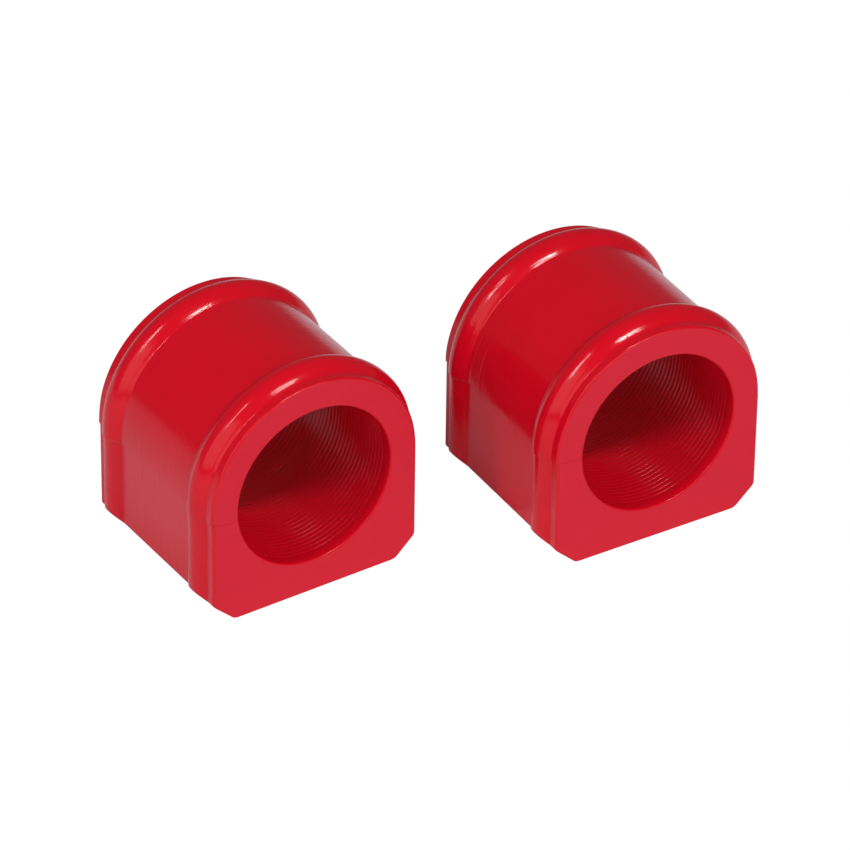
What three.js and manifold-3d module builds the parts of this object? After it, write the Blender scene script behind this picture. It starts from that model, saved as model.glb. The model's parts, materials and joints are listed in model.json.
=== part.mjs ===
// Pair of split D-shaped mounting bushings for a vehicle's sway bar.
//
// Each bushing is one polyurethane moulding: a round arch on a flat-bottomed block, with a bore along Y
// for the bar and a rounded flange bead at each end, which keeps the clamp from sliding off. A slit
// through the wall on the -X side, level with the bore's centre, lets the arch be bent open so that the
// bushing goes over the bar. The wall on the +X side is the living hinge that it opens on.
//
// The moulding is carried as two solids, its base below the slit and its arch above, which meet at the
// slit and at the living hinge. Units are millimetres. +Z is up, the bore runs along Y and the origin is
// the centre of the left bushing's flat base.

import * as THREE from 'three';
import { mergeVertices } from 'three/addons/utils/BufferGeometryUtils.js';
import Module from 'manifold-3d';

// Driving dimensions of one bushing.
const BORE_RADIUS = 16; // for a 32 mm bar
const SIDE_WALL = 5.4; // bore to the flat side
const FLOOR = 6.5; // bore to the flat base
const ARCH_STEP = 0.25; // how far the round land, which the clamp's strap holds, stands proud of the flat side
const LENGTH = 38.7; // end face to end face
const CHAMFER_WIDTH = 4.4; // across X, at the two lower edges
const CHAMFER_HEIGHT = 4.1; // up Z
const CORNER_ROUND = 2; // where a chamfer meets the flat base
const SLIT_GAP = 0.3; // between the base and the arch, both at the slit and at the living hinge

const HALF_WIDTH = BORE_RADIUS + SIDE_WALL; // bore's axis to the flat side
const ARCH_RADIUS = HALF_WIDTH + ARCH_STEP; // bore's axis to the round land
const BORE_HEIGHT = BORE_RADIUS + FLOOR; // flat base to the bore's axis

// Driving dimensions of one flange, from its end face inwards: a lip level with the land, then a round
// bead.
const LIP_ROUND = 0.5; // rounded edge of the end face
const LIP_WIDTH = 1.9; // end face to the bead's outer root
const FLANGE_WIDTH = 8.1; // end face to the bead's inner root, on the land
const CREST_RISE = 1.6; // crest above the land

// Place of the right bushing, which stands loose beside the left one.
const SIDE_GAP = 15.2; // between the crests of the two bushings' beads
const RIGHT_X = 2 * (ARCH_RADIUS + CREST_RISE) + SIDE_GAP;
const RIGHT_Y = -19.2;
const RIGHT_TURN_DEG = -2.5;

// Fineness of the curved faces.
const TURN_STEPS = 64; // round a full turn
const LIP_STEPS = 2;
const BEAD_STEPS = 8;

const CLEAR = 5; // how far a cutting solid runs past what it cuts
const POLYURETHANE = { color: 0xc5161f, roughness: 0.42, metalness: 0 };

const wasm = await Module();
wasm.setup();

function solidOf(geometry) {
  const bare = geometry.clone();
  bare.deleteAttribute('normal');
  bare.deleteAttribute('uv');
  const merged = mergeVertices(bare, 1e-4);
  return new wasm.Manifold(new wasm.Mesh({
    numProp: 3,
    vertProperties: new Float32Array(merged.attributes.position.array),
    triVerts: new Uint32Array(merged.index.array),
  }));
}

function geometryOf(solid) {
  const mesh = solid.getMesh();
  const geometry = new THREE.BufferGeometry();
  geometry.setAttribute('position', new THREE.BufferAttribute(new Float32Array(mesh.vertProperties), 3));
  geometry.setIndex(new THREE.BufferAttribute(new Uint32Array(mesh.triVerts), 1));
  geometry.computeVertexNormals();
  return geometry;
}

// One flange as (rise above the land, distance from the end face), from the end face inwards. The bead's
// rise falls away from its crest as a parabola.
function flangeProfile() {
  const points = [];
  for (let step = 0; step <= LIP_STEPS; step += 1) {
    const turn = (step / LIP_STEPS) * (Math.PI / 2);
    points.push(new THREE.Vector2(
      -LIP_ROUND * (1 - Math.sin(turn)),
      LIP_ROUND * (1 - Math.cos(turn)),
    ));
  }
  for (let step = 0; step <= BEAD_STEPS; step += 1) {
    const share = step / BEAD_STEPS;
    points.push(new THREE.Vector2(
      CREST_RISE * (1 - (2 * share - 1) ** 2),
      THREE.MathUtils.lerp(LIP_WIDTH, FLANGE_WIDTH, share),
    ));
  }
  return points;
}

// The whole length as (distance from the bore's axis, y), front end face to rear end face.
function lengthProfile(landRadius) {
  const front = flangeProfile().map((p) => new THREE.Vector2(landRadius + p.x, p.y - LENGTH / 2));
  const rear = front.map((p) => new THREE.Vector2(p.x, -p.y)).reverse();
  return [...front, ...rear];
}

function boreCutter() {
  const geometry = new THREE.CylinderGeometry(BORE_RADIUS, BORE_RADIUS, LENGTH + 2 * CLEAR, TURN_STEPS);
  geometry.translate(0, 0, BORE_HEIGHT);
  return solidOf(geometry);
}

// The half above the slit: the length profile turned about the bore's axis, cut off level.
function archSolid() {
  const outline = [
    new THREE.Vector2(0, -LENGTH / 2),
    ...lengthProfile(ARCH_RADIUS),
    new THREE.Vector2(0, LENGTH / 2),
  ];
  const turned = new THREE.LatheGeometry(outline, TURN_STEPS);
  turned.translate(0, 0, BORE_HEIGHT);
  const reach = ARCH_RADIUS + CREST_RISE + CLEAR;
  const above = new THREE.BoxGeometry(2 * reach, LENGTH + 2 * CLEAR, reach);
  above.translate(0, 0, BORE_HEIGHT + SLIT_GAP / 2 + reach / 2);
  return solidOf(turned).intersect(solidOf(above)).subtract(boreCutter());
}

// The half below the slit, seen from above: straight sides with the flange beads on them.
function planOutline() {
  const right = lengthProfile(HALF_WIDTH);
  const left = right.map((p) => new THREE.Vector2(-p.x, p.y)).reverse();
  return new THREE.Shape([...right, ...left]);
}

// The half below the slit, seen along the bore: a flat base with its two lower edges chamfered. The
// chamfers run on outwards past the land, so that they cut the beads in the same plane.
function endOutline() {
  const reach = CREST_RISE + CLEAR;
  const slope = CHAMFER_HEIGHT / CHAMFER_WIDTH;
  const chamferAngle = Math.atan(slope);
  const cornerX = HALF_WIDTH - CHAMFER_WIDTH;
  const arcX = cornerX - CORNER_ROUND * Math.tan(chamferAngle / 2);
  const outerX = HALF_WIDTH + reach;
  const outerZ = CHAMFER_HEIGHT + reach * slope;
  const shape = new THREE.Shape();
  shape.moveTo(-outerX, BORE_HEIGHT);
  shape.lineTo(-outerX, outerZ);
  shape.absarc(-arcX, CORNER_ROUND, CORNER_ROUND, -Math.PI / 2 - chamferAngle, -Math.PI / 2, false);
  shape.absarc(arcX, CORNER_ROUND, CORNER_ROUND, -Math.PI / 2, -Math.PI / 2 + chamferAngle, false);
  shape.lineTo(outerX, outerZ);
  shape.lineTo(outerX, BORE_HEIGHT);
  return shape;
}

function baseSolid() {
  const top = BORE_HEIGHT - SLIT_GAP / 2;
  const plan = new THREE.ExtrudeGeometry(planOutline(), { depth: top, bevelEnabled: false });
  const end = new THREE.ExtrudeGeometry(endOutline(), {
    depth: LENGTH + 2 * CLEAR,
    bevelEnabled: false,
    curveSegments: 4,
  });
  end.rotateX(Math.PI / 2);
  end.translate(0, LENGTH / 2 + CLEAR, 0);
  return solidOf(plan).intersect(solidOf(end)).subtract(boreCutter());
}

const baseGeometry = geometryOf(baseSolid());
const archGeometry = geometryOf(archSolid());

function bushing(side) {
  const group = new THREE.Group();
  for (const [part, geometry] of [['base', baseGeometry], ['arch', archGeometry]]) {
    const mesh = new THREE.Mesh(geometry, new THREE.MeshStandardMaterial(POLYURETHANE));
    mesh.name = `${side}_bushing_${part}`;
    group.add(mesh);
  }
  return group;
}

const leftBushing = bushing('left');
const rightBushing = bushing('right');
rightBushing.position.set(RIGHT_X, RIGHT_Y, 0);
rightBushing.rotation.z = THREE.MathUtils.degToRad(RIGHT_TURN_DEG);

const swayBarBushings = new THREE.Group();
swayBarBushings.add(leftBushing, rightBushing);

export default swayBarBushings;
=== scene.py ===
# %% [markdown]
# # A pair of sway bar bushings
#
# A sway bar is held to the car by two bushings like these. Each is one block of red polyurethane with a
# round arch on a flat base, a bore for the bar, and a rounded bead at each end that keeps the clamp from
# sliding off. A slit through one wall lets the arch be bent open, so that the bushing goes over the bar.
# The CAD frame gives the sizes, the joints and the places. This notebook puts two finished meshes round
# each bushing: the block below the slit and the arch above it.

# %% Load the frame
import json
import math

import bmesh
import bpy
import numpy as np
from mathutils import Matrix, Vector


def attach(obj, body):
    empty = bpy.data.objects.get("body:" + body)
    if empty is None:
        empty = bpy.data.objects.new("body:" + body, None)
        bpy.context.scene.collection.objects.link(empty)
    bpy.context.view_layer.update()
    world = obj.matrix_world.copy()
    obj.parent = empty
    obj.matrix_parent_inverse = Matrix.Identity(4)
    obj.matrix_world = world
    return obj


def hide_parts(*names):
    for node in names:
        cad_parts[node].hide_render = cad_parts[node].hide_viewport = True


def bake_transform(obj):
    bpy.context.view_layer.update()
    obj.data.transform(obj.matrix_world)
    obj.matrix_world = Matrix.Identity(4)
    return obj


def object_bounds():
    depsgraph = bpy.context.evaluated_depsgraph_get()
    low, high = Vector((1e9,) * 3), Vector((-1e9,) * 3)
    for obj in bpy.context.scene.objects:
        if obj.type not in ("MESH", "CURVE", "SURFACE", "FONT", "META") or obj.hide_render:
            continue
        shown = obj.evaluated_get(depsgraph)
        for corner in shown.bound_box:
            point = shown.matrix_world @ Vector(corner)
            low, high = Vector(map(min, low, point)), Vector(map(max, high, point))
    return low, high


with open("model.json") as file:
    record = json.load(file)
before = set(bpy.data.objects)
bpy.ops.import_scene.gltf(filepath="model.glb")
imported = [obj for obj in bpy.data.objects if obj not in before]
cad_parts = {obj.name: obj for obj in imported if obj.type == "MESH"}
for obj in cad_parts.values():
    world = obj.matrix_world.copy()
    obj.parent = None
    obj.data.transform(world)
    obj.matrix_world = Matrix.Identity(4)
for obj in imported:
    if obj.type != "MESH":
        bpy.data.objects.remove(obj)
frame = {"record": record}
cad_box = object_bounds()
MM = 0.001
print("CAD box in metres:", cad_box)

# %% [markdown]
# ## Camera
#
# The camera stands high at the front left with a long lens, which keeps the parallel edges of the
# bushings nearly parallel. An aim could be a Track To constraint. Here the three axes of the camera are
# worked out from two angles and a slight roll, because the lamps are turned by the same helper.

# %% Turn and place an object from its axes


def placed(axes, origin):
    """A 4 x 4 matrix that has the three axes and the origin as its columns."""
    matrix = np.eye(4)
    matrix[:3, :3] = np.array(axes).T
    matrix[:3, 3] = origin
    return Matrix(matrix.tolist())


def camera_axes(azimuth, elevation, roll):
    """Right, up and back. Back points from the target to the camera: its level part has the length
    cos(elevation) and its height is sin(elevation). The roll turns right and up about back."""
    level = math.cos(elevation)
    back = np.array([math.sin(azimuth) * level, -math.cos(azimuth) * level, math.sin(elevation)])
    right = np.array([math.cos(azimuth), math.sin(azimuth), 0.0])
    up = np.cross(back, right)
    c, s = math.cos(roll), math.sin(roll)
    return right * c + up * s, up * c - right * s, back


# %% Camera
VIEW_AZIMUTH = math.radians(-33.82)
VIEW_ELEVATION = math.radians(34.592)
VIEW_ROLL = math.radians(0.772)
VIEW_DISTANCE = 1.19331
VIEW_TARGET = np.array([0.036315, 0.000142, 0.010743])

axes = camera_axes(VIEW_AZIMUTH, VIEW_ELEVATION, VIEW_ROLL)
lens = bpy.data.cameras.new("studio_camera")
lens.lens = 276.68
lens.sensor_width = 36.0
lens.clip_end = 20.0
camera = bpy.data.objects.new("studio_camera", lens)
bpy.context.collection.objects.link(camera)
camera.matrix_world = placed(axes, VIEW_TARGET + axes[2] * VIEW_DISTANCE)
bpy.context.scene.camera = camera
bpy.context.scene.view_settings.view_transform = "Standard"
print("camera at", [round(v, 4) for v in camera.matrix_world.translation])

# %% [markdown]
# ## Sizes
#
# All the sizes of one bushing are in millimetres, in its own frame: the bore runs along Y, the flat base
# is at height 0, and the slit is on the side of negative X. They are the CAD model's sizes, with a few
# small roundings that the CAD model leaves out. The outside is also set a tenth of a millimetre off the
# bore's centre, which is too little to see and wasn't measured on a real block.

# %% Sizes of one bushing
BORE_RADIUS = 16.0
BORE_HEIGHT = 22.5
HALF_WIDTH = 21.4  # bore's axis to the flat sides
ARCH_RADIUS = 21.65  # bore's axis to the round land
OUTSIDE_SHIFT = 0.1  # of the outside from the bore, along X
LENGTH = 38.7
CHAMFER_WIDTH = 4.4
CHAMFER_HEIGHT = 4.1
CORNER_ROUND = 2.0  # where a chamfer meets the flat base
EDGE_ROUND = 0.35  # where a flat side meets a chamfer

LIP_ROUND = 0.5
LIP_WIDTH = 1.9
FLANGE_WIDTH = 8.1
CREST_RISE = 1.6
ROOT_ROUND = 0.08

MOUTH_ROUND = 0.3
GROOVE_START = 2.0  # width of the plain band inside each mouth
GROOVE_PITCH = 1.04
GROOVE_HALF_WIDTH = 0.09
RIB_DEPTH = {"left": 0.035, "right": 0.05}
DEEPEST_GROOVE = {"left": 0.085, "right": 0.086}

# %% [markdown]
# ## The bead at each end
#
# The bead and the lip beside it are the same all the way round the block, so they are a profile: how
# far the surface stands proud at each distance from the end face. A bevelled curve would give only one
# radius. A formula gives the rounded lip, the narrow land and the bead with its soft roots in one line
# each, and the whole row of stations is worked out at once.

# %% Profile of the outside


def flange_rise(distance):
    """Rise of the outside above the land at a distance from the nearer end face.

    The lip is a quarter circle. The bead falls away from its crest as a parabola, and half the sum of
    the parabola and the root of its square plus ROOT_ROUND squared eases it into the land.
    """
    middle = (LIP_WIDTH + FLANGE_WIDTH) / 2
    half_bead = (FLANGE_WIDTH - LIP_WIDTH) / 2
    bead = CREST_RISE * (1 - ((distance - middle) / half_bead) ** 2)
    eased = (bead + np.sqrt(bead**2 + ROOT_ROUND**2)) / 2 - ROOT_ROUND**2 / (4 * CREST_RISE)
    eased = np.where(bead < -2 * ROOT_ROUND, 0, np.clip(eased, 0, None))
    into_round = np.clip(LIP_ROUND - distance, 0, LIP_ROUND)
    lip = np.sqrt(LIP_ROUND**2 - into_round**2) - LIP_ROUND
    return np.where(distance < LIP_ROUND, lip, eased)


# %% [markdown]
# ## The turned bore
#
# The bore is cut on a lathe. The tool leaves a row of low round ribs, about one to the millimetre, with
# a fine groove between each and the next, and plain bands at the two mouths. They could be bump in the
# material, but then the exported mesh would be smooth. Bump is also blurred where it is finer than what
# the camera resolves, and it is the steep side of the groove that catches the front lamp in a row of
# dots. So the grooves are real.

# %% Profile of the bore


def groove_depths(number, deepest):
    """Depth of each numbered groove: the deepest, less up to a quarter by a sine of the number, because
    a real tool doesn't cut them alike."""
    return deepest * (0.875 + 0.125 * np.sin(12.9 * number))


def bore_depth(distance, along, rib_depth, deepest_groove):
    """How far the wall of the bore lies outside BORE_RADIUS.

    The mouth is a quarter circle. The ribs are a squared cosine of the place along the bore, with its
    peaks at the grooves. A groove is a V with straight sides. Both start after the plain band.
    """
    into_round = np.clip(MOUTH_ROUND - distance, 0, MOUTH_ROUND)
    mouth = MOUTH_ROUND - np.sqrt(MOUTH_ROUND**2 - into_round**2)
    number = np.round(along / GROOVE_PITCH)
    beside = np.abs(along - number * GROOVE_PITCH)
    rib = np.cos(math.pi * along / GROOVE_PITCH) ** 2
    groove = np.clip(1 - beside / GROOVE_HALF_WIDTH, 0, 1) * groove_depths(number, deepest_groove)
    return mouth + np.where(distance > GROOVE_START, rib_depth * rib + groove, 0)


# %% [markdown]
# The profiles are sampled at stations along the bore. They are close together at the lip and the mouth,
# where the surface turns quickly. In between there are eight to each rib, three of them at its groove.
# Across the end faces and the faces of the slit, a few shares of the wall's thickness are enough, with
# the closest ones beside the edges.

# %% Stations
STEPS_IN_ROUND = 8
PLAIN_STEP = 0.12
BESIDE_GROOVE = np.array([0, 0.09, 0.23, 0.38])  # mm from a groove's middle


def stations_along():
    """Places along the bore, from the front end face at -LENGTH / 2 to the rear one at LENGTH / 2. A
    round is divided by equal angles, so that a station lies at the radius times 1 minus the cosine."""
    quarter = 1 - np.cos(np.linspace(0, math.pi / 2, STEPS_IN_ROUND + 1))
    plain = np.arange(LIP_ROUND + 0.1, GROOVE_START, PLAIN_STEP)
    near = np.concatenate([LIP_ROUND * quarter, MOUTH_ROUND * quarter[::2], plain])
    half = LENGTH / 2
    ribs_each_way = int((half - GROOVE_START) / GROOVE_PITCH - GROOVE_HALF_WIDTH)
    grooves = np.arange(-ribs_each_way, ribs_each_way + 1)[:, None] * GROOVE_PITCH
    beside = np.concatenate([-BESIDE_GROOVE[1:], BESIDE_GROOVE, [GROOVE_PITCH / 2]])
    middle = (grooves + beside).ravel()
    return np.unique(np.round(np.concatenate([near - half, middle, half - near]), 4))


along = stations_along()
from_end = LENGTH / 2 - np.abs(along)
outer_rise = flange_rise(from_end)
ACROSS = np.array([0, 0.006, 0.03, 0.12, 0.3, 0.5, 0.7, 0.88, 0.97, 0.994, 1.0])
print(len(along), "stations along the bore, crest", round(float(outer_rise.max()), 3), "mm proud")

# %% [markdown]
# ## The outline
#
# Seen along the bore, the outside is a round arch over straight sides, two chamfers and a flat base. A
# node of the outline is four numbers: x, z, and how far x and z move for each millimetre that the
# surface stands proud. The bead then follows the arch and the sides, is cut off slanting by the
# chamfers, and is gone on the base, as on the real block. A lathe shape joined to a box by a Boolean
# would need its edges cleaned. The nodes give one even grid.

# %% Parts of the outline
LAND_GROWS_OVER = math.radians(25)  # of the arch, from the level of the bore up


def smooth_step(value):
    """0 below 0, 1 above 1, and three squares minus two cubes of the value between."""
    t = np.clip(value, 0, 1)
    return t * t * (3 - 2 * t)


def round_nodes(first, last, count):
    """Nodes on the arch from one angle to another, about the bore's axis. Over the hinge side's first
    degrees the radius grows from the flat side's to the land's. The surface stands proud radially."""
    turn = np.linspace(first, last, count)
    radius = HALF_WIDTH + (ARCH_RADIUS - HALF_WIDTH) * smooth_step(turn / LAND_GROWS_OVER)
    c, s = np.cos(turn), np.sin(turn)
    return np.stack([radius * c, BORE_HEIGHT + radius * s, c, s], 1)


def straight_nodes(start, end, count):
    """Evenly shared between two nodes."""
    t = np.linspace(0, 1, count)[:, None]
    return (1 - t) * start + t * end


def corner_nodes(start, corner, end, count):
    """A quadratic curve that leaves the start and reaches the end along the two sides of the corner."""
    t = np.linspace(0, 1, count)[:, None]
    return (1 - t) ** 2 * start + 2 * t * (1 - t) * corner + t**2 * end


# %% From the level of the bore down to the middle of the base


def lower_half_nodes():
    """A straight side, a small round, the chamfer, a larger round, and the flat base. The base is
    divided by equal angles about the bore, because the wall's other face is the bore itself."""
    slope = CHAMFER_HEIGHT / CHAMFER_WIDTH
    angle = math.atan(slope)
    top = np.array([HALF_WIDTH, BORE_HEIGHT, 1, 0])
    edge = np.array([HALF_WIDTH, CHAMFER_HEIGHT, 1, slope])
    heel = np.array([HALF_WIDTH - CHAMFER_WIDTH, 0, 0, 0])
    reach = CORNER_ROUND * math.tan(angle / 2)
    on_chamfer = heel + reach * np.array([math.cos(angle), math.sin(angle), 0, 0])
    on_base = heel - reach * np.array([1, 0, 0, 0])
    above = edge + np.array([0, EDGE_ROUND, 0, 0])
    chamfer_length = np.linalg.norm((on_chamfer - edge)[:2])
    below = edge + (on_chamfer - edge) * EDGE_ROUND / chamfer_length
    turn = np.linspace(math.atan2(on_base[0], BORE_HEIGHT), 0, 18)
    base = np.stack([BORE_HEIGHT * np.tan(turn), 0 * turn, 0 * turn, 0 * turn], 1)
    return np.concatenate(
        [
            straight_nodes(top, above, 18),
            corner_nodes(above, edge, below, 5)[1:],
            straight_nodes(below, on_chamfer, 7)[1:],
            corner_nodes(on_chamfer, heel, on_base, 6)[1:],
            base[1:],
        ]
    )


# %% [markdown]
# The block is one moulding, but two meshes carry it, because only the arch swings. They meet 30 degrees
# up the hinge wall, on the arch's side of the bend. Each mesh starts at that seam and ends at the slit.
# The pair of nodes close together at the seam keeps the shading level, so that the seam doesn't show.

# %% Outlines of the two pieces
SEAM = math.radians(30)
SEAM_STEP = math.radians(0.05)
MIRROR = np.array([-1, 1, -1, 1])

half = lower_half_nodes()
seam = round_nodes(SEAM, SEAM, 1)
lower_nodes = np.concatenate(
    [seam, round_nodes(SEAM - SEAM_STEP, 0, 16), half[1:], half[:-1][::-1] * MIRROR]
)
upper_nodes = np.concatenate([seam, round_nodes(SEAM + SEAM_STEP, math.pi, 90)])
print(len(lower_nodes), "nodes round the lower piece,", len(upper_nodes), "round the upper")

# %% [markdown]
# ## The slit
#
# The slit is cut with a knife after moulding, so it closes up to a hairline and wanders a little. It
# isn't quite level through the wall, and it differs between the two bushings. A flat cut would look too
# clean, so both of its faces share one gently wavy sheet.

# %% Height of the slit
SLIT_GAP = 0.05
SLIT_ROUND = 0.05
SLIT_FADE = 6.0  # how far up and down the wall the wandering dies away
SLITS = {"left": (-0.9, -1.7), "right": (0.2, -0.05)}  # at the outside and at the bore


def slit_height(share, y, slit):
    """Height above the bore's axis at a share of the wall: a straight run between the two heights, plus
    two sine waves along the bore and one across the wall that is still at both ends."""
    outer, inner = slit
    along_wave = 0.10 * np.sin(y / 3.1 + 1.0) + 0.05 * np.sin(y / 1.3)
    across_wave = 0.12 * np.sin(3 * math.pi * share) * np.sin(math.pi * share)
    return outer + (inner - outer) * share + along_wave + across_wave


# %% [markdown]
# ## Sweeping the wall
#
# Every surface of a bushing is the same function at different shares of the wall: share 0 is the
# outside, share 1 is the bore, and the shares between are the end faces and the faces of the slit. So
# the pieces fit each other exactly, with no gap at the mouth or the seam.

# %% A point anywhere in the wall


def wall_points(nodes, slit, side, share, y, rise, depth):
    """Points at every node for rows of share, place along, rise and depth, as (node, row, xyz).

    The outer point is the node plus rise times its direction. The inner point lies on the bore at the
    node's angle. The point is shared between them. The last node is given twice: the second is drawn in
    by SLIT_ROUND, which rounds the edge of the slit. Side is -1 below the slit and 1 above it.
    """
    nodes = np.concatenate([nodes, nodes[-1:]])
    turn = np.unwrap(np.arctan2(nodes[:, 1] - BORE_HEIGHT, nodes[:, 0]))[:, None]
    on_slit_side = nodes[:, 0] < 0
    away = np.where(on_slit_side, np.abs(nodes[:, 1] - BORE_HEIGHT), SLIT_FADE)
    moved = 1 - smooth_step(away / SLIT_FADE)[:, None]
    inset = np.zeros((len(nodes), 1))
    inset[-1] = SLIT_ROUND
    back = np.zeros((len(nodes), 1))
    back[-2:, 0] = SLIT_GAP / 2 + SLIT_ROUND, SLIT_GAP / 2

    y = y[None, :] * (1 - inset / (LENGTH / 2))
    proud = rise[None, :] - inset
    outer_x = nodes[:, 0:1] + OUTSIDE_SHIFT + proud * nodes[:, 2:3]
    outer_z = nodes[:, 1:2] + proud * nodes[:, 3:4]
    outer_z = outer_z + moved * slit_height(share[None, :], y, slit) + side * back
    radius = BORE_RADIUS + depth[None, :] + inset
    angle = turn - (moved * slit_height(1.0, y, slit) + side * back) / BORE_RADIUS
    inner_x = radius * np.cos(angle)
    inner_z = BORE_HEIGHT + radius * np.sin(angle)
    x = (1 - share) * outer_x + share * inner_x
    z = (1 - share) * outer_z + share * inner_z
    return np.stack([x, y, z], 2)


# %% [markdown]
# ## Closing the mesh
#
# One section of the wall is a closed ring: along the outside, across the rear face, back along the bore
# and across the front face. The rings of all the nodes make a tube, and a grid at each end of it closes
# the seam and the slit. The grids use the ring's own vertices at their edges, so the mesh is watertight
# with nothing to merge afterwards.

# %% Rings and end grids
MOULDED, FACED, TURNED, CUT = range(4)


def section_rows(depth_row):
    """Share, place along, rise and depth round one ring, and the finish of each of its faces."""
    n = len(along)
    inner = ACROSS[1:-1]
    m = len(inner)
    share = np.concatenate([np.zeros(n), inner, np.ones(n), inner[::-1]])
    y = np.concatenate([along, np.full(m, LENGTH / 2), along[::-1], np.full(m, -LENGTH / 2)])
    at_end = np.full(m, outer_rise[0])
    rise = np.concatenate([outer_rise, at_end, outer_rise[::-1], at_end])
    at_mouth = np.full(m, depth_row[0])
    depth = np.concatenate([depth_row, at_mouth, depth_row[::-1], at_mouth])
    runs = (n - 1, m + 1, n - 1, m + 1)
    finish = np.repeat((MOULDED, FACED, TURNED, FACED), runs)
    return (share, y, rise, depth), finish


def tube_faces(rings, around):
    """Quads between each ring and the next: (s, j), (s, j + 1), (s + 1, j + 1), (s + 1, j)."""
    s = np.arange(rings - 1)[:, None]
    j = np.arange(around)[None, :]
    k = (j + 1) % around
    corners = (s * around + j, s * around + k, (s + 1) * around + k, (s + 1) * around + j)
    return np.stack(corners, 2).reshape(-1, 4)


def end_grid_faces(first_on_ring, first_inside):
    """Quads of the grid that closes one end. Its border is the ring, and its inside is new vertices."""
    n, m = len(along), len(ACROSS)
    index = np.empty((n, m), int)
    index[:, 0] = first_on_ring + np.arange(n)
    index[-1, :] = first_on_ring + n - 1 + np.arange(m)
    index[:, -1] = first_on_ring + 2 * n + m - 3 - np.arange(n)
    index[0, 1:-1] = first_on_ring + 2 * (n + m) - 5 - np.arange(m - 2)
    index[1:-1, 1:-1] = first_inside + np.arange((n - 2) * (m - 2)).reshape(n - 2, m - 2)
    corners = (index[:-1, :-1], index[1:, :-1], index[1:, 1:], index[:-1, 1:])
    return np.stack(corners, 2).reshape(-1, 4)


# %% [markdown]
# The vertices are then turned and moved to the bushing's place in the CAD frame. The place along the
# bore is kept on every vertex as an attribute, because the marks of turning and moulding follow the
# bore, and the right bushing stands at an angle. Edges sharper than 38 degrees keep a crisp shade.

# %% Build one piece
SHARP_EDGE = math.radians(38)


def to_world(points, place):
    """Turn about Z by the bushing's angle, change to metres and add its origin."""
    turn, origin = place
    c, s = math.cos(turn), math.sin(turn)
    x, y, z = points.T
    return np.stack([c * x - s * y, s * x + c * y, z], 1) * MM + np.asarray(origin)


def bushing_piece(name, nodes, side, bushing, place):
    """A closed mesh of one piece, with the finish of each face in its material index."""
    slit = SLITS[bushing]
    depth_row = bore_depth(from_end, along, RIB_DEPTH[bushing], DEEPEST_GROOVE[bushing])
    rows, ring_finish = section_rows(depth_row)
    rings = wall_points(nodes, slit, side, *rows)
    count, around = rings.shape[:2]
    share, y = np.meshgrid(ACROSS[1:-1], along[1:-1])
    rise = np.broadcast_to(outer_rise[1:-1, None], share.shape)
    depth = np.broadcast_to(depth_row[1:-1, None], share.shape)
    inside = wall_points(nodes, slit, side, share.ravel(), y.ravel(), rise.ravel(), depth.ravel())
    vertices = np.concatenate([rings.reshape(-1, 3), inside[0], inside[-1]])
    seam_grid = end_grid_faces(0, count * around)
    slit_grid = end_grid_faces((count - 1) * around, count * around + inside.shape[1])
    faces = np.concatenate([tube_faces(count, around), seam_grid, slit_grid])
    finish = np.full(len(faces), CUT)
    finish[: (count - 1) * around] = np.tile(ring_finish, count - 1)

    mesh = bpy.data.meshes.new(name)
    mesh.from_pydata(to_world(vertices, place).tolist(), [], faces.tolist())
    mesh.polygons.foreach_set("material_index", finish.astype(np.int32))
    mesh.polygons.foreach_set("use_smooth", np.ones(len(faces), bool))
    marks = mesh.attributes.new("along_mm", "FLOAT", "POINT")
    marks.data.foreach_set("value", vertices[:, 1].astype(np.float32))
    work = bmesh.new()
    work.from_mesh(mesh)
    bmesh.ops.recalc_face_normals(work, faces=work.faces)
    open_edges = sum(1 for edge in work.edges if len(edge.link_faces) != 2)
    volume = work.calc_volume()
    work.to_mesh(mesh)
    work.free()
    mesh.set_sharp_from_angle(angle=SHARP_EDGE)
    piece = bpy.data.objects.new(name, mesh)
    bpy.context.collection.objects.link(piece)
    print(name, len(faces), "faces,", open_edges, "open edges,", round(volume * 1e6, 2), "cm3")
    return piece


# %% [markdown]
# ## Polyurethane
#
# The bushings are cast in one dyed material, and it is the working of each surface that changes its
# look. The moulded outside is glossy, with faint marks that run round it. The end faces are cut and matt.
# The bore is turned, and the edges of its grooves catch the lamps. One function makes all of them, so
# the colour stays one family, and only the gloss and the relief differ.

# %% Helpers for nodes


def new_material(name):
    """A material with its tree and its shader."""
    material = bpy.data.materials.new(name)
    material.use_nodes = True
    return material, material.node_tree, material.node_tree.nodes["Principled BSDF"]


def add(tree, kind, links=None, **values):
    """A node with values on its sockets or settings, and links to its sockets by name or number."""
    node = tree.nodes.new(kind)
    for key, value in values.items():
        if key in node.inputs:
            node.inputs[key].default_value = value
        else:
            setattr(node, key, value)
    for key, source in (links or {}).items():
        tree.links.new(source, node.inputs[key])
    return node


def bump(tree, height, distance_mm, before=None):
    """Relief from a height between 0 and 1, on top of the relief before it."""
    links = {"Height": height}
    if before:
        links["Normal"] = before.outputs["Normal"]
    return add(tree, "ShaderNodeBump", links, Strength=1.0, Distance=distance_mm * MM)


# %% [markdown]
# The marks are noise that is stretched round the bushing: its features are 0.6 mm along the bore and
# 17 mm the other way. Turning and the scraped mould both leave them, and they break the lamps'
# reflections on the beads into fine lines.

# %% Marks that follow the bore
MARKS_PER_MM = 1.7  # along the bore
MARKS_PER_M = 60.0  # across it


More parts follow.
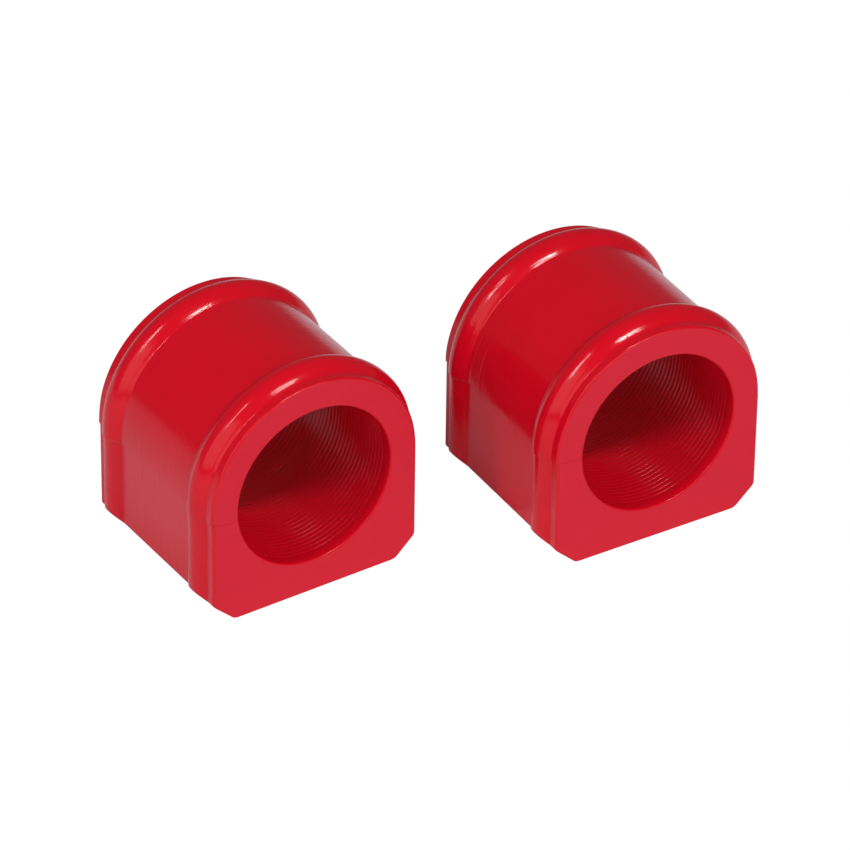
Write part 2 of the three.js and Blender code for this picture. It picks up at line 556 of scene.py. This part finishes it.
def marks_along_bore(tree, where, along_mm):
    """Noise at a point that is x and z in metres times MARKS_PER_M, with the place along the bore in
    millimetres times MARKS_PER_MM between them."""
    split = add(tree, "ShaderNodeSeparateXYZ", {0: where})
    places = {
        "X": (split.outputs["X"], MARKS_PER_M),
        "Y": (along_mm, MARKS_PER_MM),
        "Z": (split.outputs["Z"], MARKS_PER_M),
    }
    vector = add(tree, "ShaderNodeCombineXYZ")
    for axis, (place, times) in places.items():
        stretched = add(tree, "ShaderNodeMath", {0: place}, operation="MULTIPLY")
        stretched.inputs[1].default_value = times
        tree.links.new(stretched.outputs[0], vector.inputs[axis])
    noise = add(tree, "ShaderNodeTexNoise", {"Vector": vector.outputs[0]}, Scale=1.0, Detail=2.0)
    return noise.outputs["Fac"]


# %% The material
RED = (0.605, 0.0030, 0.0145, 1)
DEEP_RED = (0.550, 0.0024, 0.0125, 1)
FACED_RED = (0.620, 0.0040, 0.0230, 1)
FACED_DEEP_RED = (0.580, 0.0034, 0.0200, 1)
CLOUDS_PER_M = 110.0
GRAINS_PER_M = 2000.0
MIDDLE_OF_NOISE = (0.3, 0.7)
POLYURETHANE_IOR = 1.48


def polyurethane(name, tints, gloss, shine, relief_mm):
    """Tints are the two ends of a cloudy colour, and gloss the roughness at each. Shine is the specular
    level. Relief is the height of the grain and of the marks along the bore, in mm."""
    material, tree, shader = new_material(name)
    grain_mm, marks_mm = relief_mm
    where = add(tree, "ShaderNodeTexCoord").outputs["Object"]
    cloud = add(tree, "ShaderNodeTexNoise", {"Vector": where}, Scale=CLOUDS_PER_M, Detail=4.0)
    tint = add(tree, "ShaderNodeMix", {"Factor": cloud.outputs["Fac"]}, data_type="RGBA")
    tint.inputs["A"].default_value, tint.inputs["B"].default_value = tints
    tree.links.new(tint.outputs["Result"], shader.inputs["Base Color"])

    spread = add(tree, "ShaderNodeMapRange", {"Value": cloud.outputs["Fac"]})
    limits = zip(("From Min", "From Max", "To Min", "To Max"), MIDDLE_OF_NOISE + gloss)
    for socket, value in limits:
        spread.inputs[socket].default_value = value
    tree.links.new(spread.outputs[0], shader.inputs["Roughness"])

    grain = add(tree, "ShaderNodeTexNoise", {"Vector": where}, Scale=GRAINS_PER_M, Detail=3.0)
    relief = bump(tree, grain.outputs["Fac"], grain_mm)
    if marks_mm:
        along_mm = add(tree, "ShaderNodeAttribute", attribute_name="along_mm").outputs["Fac"]
        relief = bump(tree, marks_along_bore(tree, where, along_mm), marks_mm, relief)
    tree.links.new(relief.outputs["Normal"], shader.inputs["Normal"])
    shader.inputs["IOR"].default_value = POLYURETHANE_IOR
    shader.inputs["Specular IOR Level"].default_value = shine
    return material


plain_tints = (DEEP_RED, RED)
faced_tints = (FACED_DEEP_RED, FACED_RED)
FINISHES = (
    polyurethane("moulded_polyurethane", plain_tints, (0.10, 0.17), 0.28, (0.014, 0.045)),
    polyurethane("faced_polyurethane", faced_tints, (0.48, 0.62), 0.30, (0.004, 0)),
    polyurethane("turned_polyurethane", plain_tints, (0.14, 0.22), 0.16, (0.004, 0.008)),
    polyurethane("cut_polyurethane", faced_tints, (0.50, 0.60), 0.30, (0.006, 0)),
)
print("finishes:", [finish.name for finish in FINISHES])

# %% [markdown]
# ## Place the bushings
#
# The record's mounts say where each bushing stands and how far it is turned. The upper piece rides on
# the arch. The lower piece, which holds the hinge wall, stays where it is built.

# %% Build the four pieces
mounts = {mount["name"]: mount for mount in frame["record"]["mounts"]}


def place_of(bushing):
    """Angle about Z and origin, from the front face's axis and the base's position."""
    front = mounts[bushing + "_front_face"]["axis"]
    return math.atan2(front[0], -front[1]), mounts[bushing + "_base"]["pos_m"]


for bushing in ("left", "right"):
    place = place_of(bushing)
    lower = bushing_piece(bushing + "_bushing_lower", lower_nodes, -1, bushing, place)
    upper = bushing_piece(bushing + "_bushing_upper", upper_nodes, 1, bushing, place)
    for piece in (lower, upper):
        for finish in FINISHES:
            piece.data.materials.append(finish)
    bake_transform(lower)
    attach(upper, bushing + "_arch")
    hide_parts(bushing + "_bushing_base")
    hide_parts(bushing + "_bushing_arch")

# %% [markdown]
# ## Studio
#
# The bushings stand on white paper. A lit sheet just under it, which only the camera sees, keeps the
# background even, while the paper itself, hidden from the camera, throws real bounce light and shadow on
# the sides. Two narrow softboxes give the thin bright lines on the beads: one from the left, tall, and
# one from the front, wide. Two large tents, in front and on the left, light the bore and the sides
# softly.

# %% Floor
FLOOR_REACH = 3  # m each way
PAPER_ROUGHNESS = 0.9


def floor_sheet(name, drop_mm, colour, glow):
    """A level square, 6 m across, a little below the bushings' bases."""
    height = cad_box[0][2] - drop_mm * MM
    corners = [(-1, -1), (1, -1), (1, 1), (-1, 1)]
    corners = [(FLOOR_REACH * x, FLOOR_REACH * y, height) for x, y in corners]
    mesh = bpy.data.meshes.new(name)
    mesh.from_pydata(corners, [], [(0, 1, 2, 3)])
    paper, tree, shader = new_material(name)
    shader.inputs["Base Color"].default_value = colour
    shader.inputs["Roughness"].default_value = PAPER_ROUGHNESS
    shader.inputs["Emission Color"].default_value = (1, 1, 1, 1)
    shader.inputs["Emission Strength"].default_value = glow
    mesh.materials.append(paper)
    sheet = bpy.data.objects.new(name, mesh)
    bpy.context.collection.objects.link(sheet)
    return sheet


paper = floor_sheet("white_paper", 0.2, (0.86, 0.86, 0.95, 1), 0.0)
paper.visible_camera = False
floor_sheet("lit_sheet", 0.4, (0, 0, 0, 1), 1.0)

# %% Sky and softboxes
world = bpy.data.worlds.new("studio")
bpy.context.scene.world = world
world.use_nodes = True
sky = world.node_tree.nodes["Background"]
sky.inputs["Color"].default_value = (0.95, 0.97, 1, 1)
sky.inputs["Strength"].default_value = 0.15
LAMP_TARGET = np.array([0.03, 0.0, 0.02])
LAMP_COLOUR = (1.0, 0.95, 0.91)


def softbox(name, direction, size, power):
    """A rectangular lamp 1 m from the bushings that faces them: right is level, up follows from it."""
    towards = np.array(direction, float)
    towards /= np.linalg.norm(towards)
    right = np.cross([0.0, 0.0, 1.0], towards)
    right /= np.linalg.norm(right)
    lamp = bpy.data.lights.new(name, "AREA")
    lamp.shape = "RECTANGLE"
    lamp.size, lamp.size_y = size
    lamp.energy = power
    lamp.color = LAMP_COLOUR
    light = bpy.data.objects.new(name, lamp)
    bpy.context.collection.objects.link(light)
    light.matrix_world = placed((right, np.cross(towards, right), towards), LAMP_TARGET + towards)


softbox("left_softbox", (-0.64, -0.05, 0.76), (0.06, 0.42), 2.9)
softbox("front_softbox", (0.09, -0.53, 0.83), (0.30, 0.04), 3.9)
softbox("front_tent", (0.08, -0.90, 0.42), (1.0, 0.7), 3.5)
softbox("left_tent", (-0.85, -0.20, 0.40), (0.9, 0.7), 2.6)
